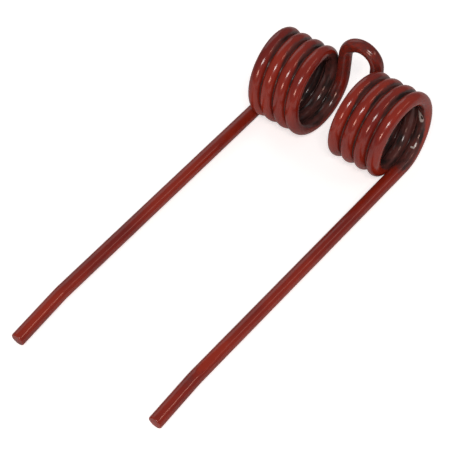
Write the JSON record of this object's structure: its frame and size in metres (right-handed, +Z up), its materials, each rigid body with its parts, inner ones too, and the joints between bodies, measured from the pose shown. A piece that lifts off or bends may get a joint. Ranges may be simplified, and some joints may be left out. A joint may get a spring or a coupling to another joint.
{
  "type": "baler pick-up tine",
  "caption": "Spring tine bent from one round wire: close-wound coils on one axis, joined by a raised bridge, each running out into a long straight leg with a bent tip.",
  "frame": {"origin": "on the surface that the tine lies on, under the middle of its box", "axes": "+X along the axis of the coils, +Y from the tips of the legs to the coils, +Z up, with the bridge standing up at the backs of the coils"},
  "size_m": [0.0762, 0.1882, 0.042],
  "materials": {
    "paint": "gloss enamel, brown red"
  },
  "bodies": {
    "root": {"tine": "paint"}
  },
  "joints": []
}
